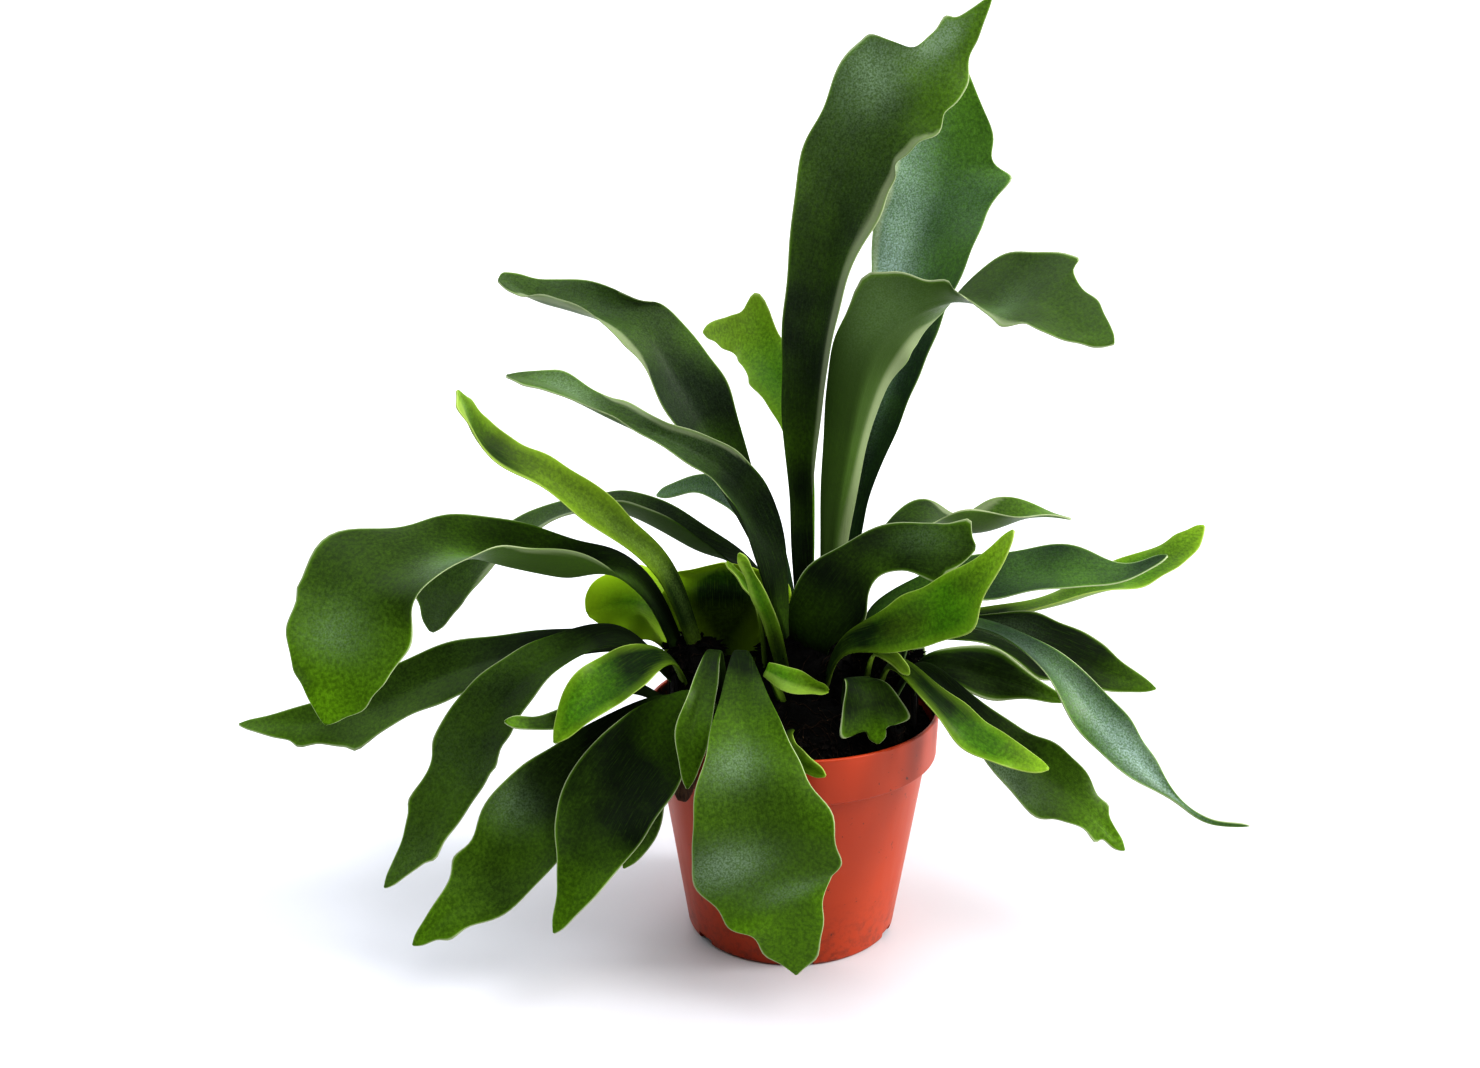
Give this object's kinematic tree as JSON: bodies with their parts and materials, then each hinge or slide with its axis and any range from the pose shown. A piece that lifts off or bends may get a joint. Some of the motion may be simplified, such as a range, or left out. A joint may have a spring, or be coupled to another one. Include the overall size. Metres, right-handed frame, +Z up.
{
  "type": "potted staghorn fern",
  "caption": "Young staghorn fern in a plain round nursery pot: rounded shield fronds at a dark crown, with long strap-shaped fronds that stand, arch and droop around it.",
  "frame": {"origin": "middle of the pot's flat underside", "axes": "+Z up along the pot's axis, +X to the right and +Y away from the viewer as pictured"},
  "size_m": [0.426, 0.1992, 0.3709],
  "materials": {
    "pot_plastic": "satin terracotta-coloured polypropylene",
    "potting_mix": "loose dark peat and bark fibre",
    "crown_fibre": "dark brown rhizome scales and roots",
    "frond_mature": "matte dark green, thinly felted",
    "frond_silver": "matte grey-green, silvery felt",
    "frond_young": "matte bright yellow-green",
    "shield_green": "matte green with a yellow-green rim",
    "shield_dried": "dry brown papery frond"
  },
  "bodies": {
    "root": {"pot": "pot_plastic", "soil": "potting_mix", "crown": "crown_fibre", "frond_tall_front": "frond_mature", "frond_tall_back": "frond_silver", "frond_mid_twist": "frond_mature", "frond_back_lobed": "frond_young", "frond_upper_left_long": "frond_mature", "frond_upper_left_second": "frond_mature", "frond_left_bright": "frond_young", "frond_left_big": "frond_mature", "frond_left_behind": "frond_mature", "frond_left_low_long": "frond_mature", "frond_left_low_dark": "frond_mature", "frond_left_short_bright": "frond_young", "frond_left_short_dark": "frond_mature", "frond_low_left_big": "frond_mature", "frond_low_left_dark": "frond_mature", "frond_behind_low_left": "frond_mature", "frond_front_left_narrow": "frond_mature", "frond_front_big": "frond_mature", "frond_soil_lobed": "frond_mature", "frond_small_curl": "frond_young", "frond_rim_tip": "frond_young", "frond_young_centre": "frond_young", "frond_young_behind": "frond_young", "frond_back_forked": "frond_silver", "frond_right_dark_lobed": "frond_mature", "frond_right_bright": "frond_young", "frond_right_back_wavy": "frond_mature", "frond_right_bluish": "frond_silver", "frond_right_bright_far": "frond_young", "frond_right_dark_upper": "frond_mature", "frond_right_droop_silver": "frond_silver", "frond_right_dark_lower": "frond_mature", "frond_low_right_big": "frond_mature", "frond_low_right_bright": "frond_young", "frond_young_right": "frond_young", "frond_shield_left": "shield_green", "frond_shield_middle": "shield_green", "frond_back_droop_left": "frond_mature", "frond_back_droop_right": "frond_silver", "frond_shield_back": "shield_dried", "frond_shield_dried": "shield_dried"}
  },
  "joints": []
}
